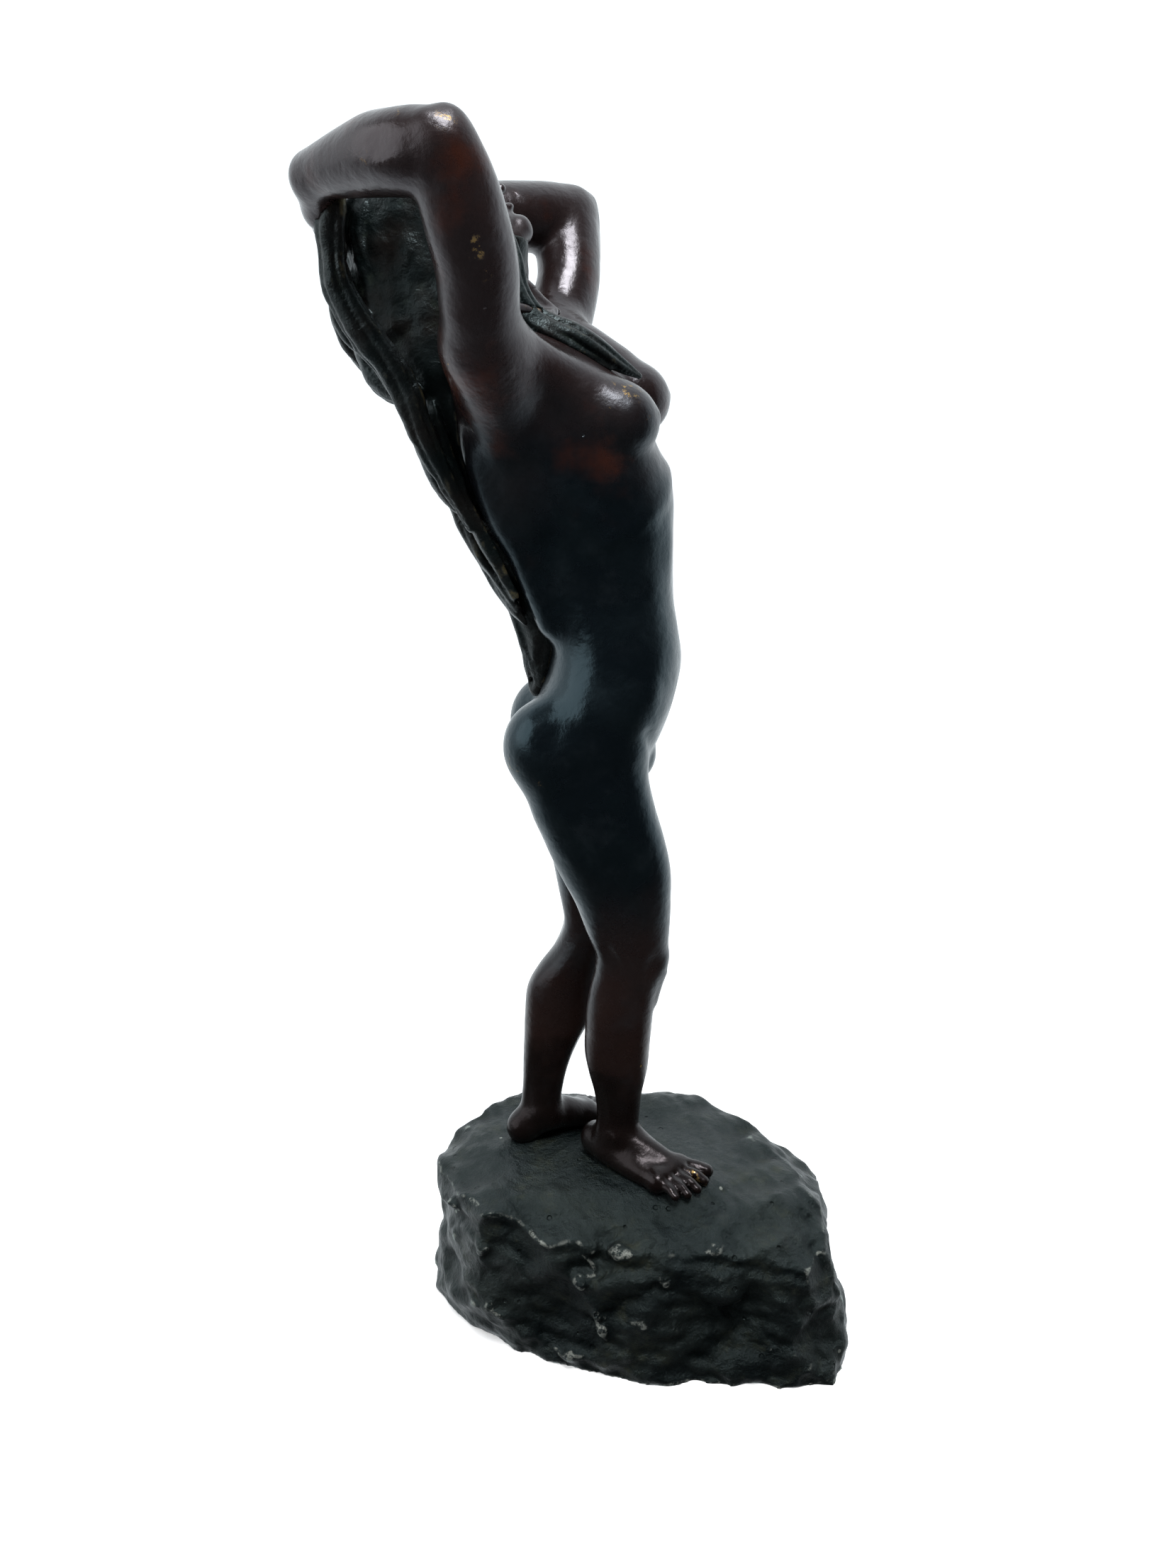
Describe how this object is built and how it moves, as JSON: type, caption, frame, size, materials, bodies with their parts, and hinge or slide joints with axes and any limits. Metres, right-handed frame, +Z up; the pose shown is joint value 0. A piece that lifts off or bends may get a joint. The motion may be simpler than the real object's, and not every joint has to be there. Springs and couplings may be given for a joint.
{
  "type": "bronze statuette",
  "caption": "Cast bronze statuette of a standing figure with raised arms and long loose hair on a rough rock, free-standing.",
  "frame": {"origin": "under the middle of the whole statuette's box, on the plane that the rock stands on", "axes": "+Z up; +X the way the figure's chest faces; +Y towards the figure's left side"},
  "size_m": [0.1268, 0.0944, 0.2888],
  "materials": {
    "skin_patina": "dark brown patina, semi-gloss, worn edges",
    "hair_patina": "green-black patina with worn ridges",
    "rock_patina": "green-black patina with worn ridges",
    "pin_bronze": "drawn, unpatinated",
    "fixing_steel": "dull turned steel"
  },
  "bodies": {
    "root": {"torso": "skin_patina", "head": "skin_patina", "right_arm": "skin_patina", "left_arm": "skin_patina", "right_leg": "skin_patina", "left_leg": "skin_patina", "hair_fall": "hair_patina", "rock_base": "rock_patina", "right_hip_pin": "pin_bronze", "left_hip_pin": "pin_bronze", "right_shoulder_pin": "pin_bronze", "left_shoulder_pin": "pin_bronze", "neck_pin": "pin_bronze", "hair_pins": "pin_bronze", "core_plugs": "pin_bronze", "right_foot_stud": "fixing_steel", "right_foot_washer": "fixing_steel", "right_foot_nut": "fixing_steel", "left_foot_stud": "fixing_steel", "left_foot_washer": "fixing_steel", "left_foot_nut": "fixing_steel"}
  },
  "joints": []
}
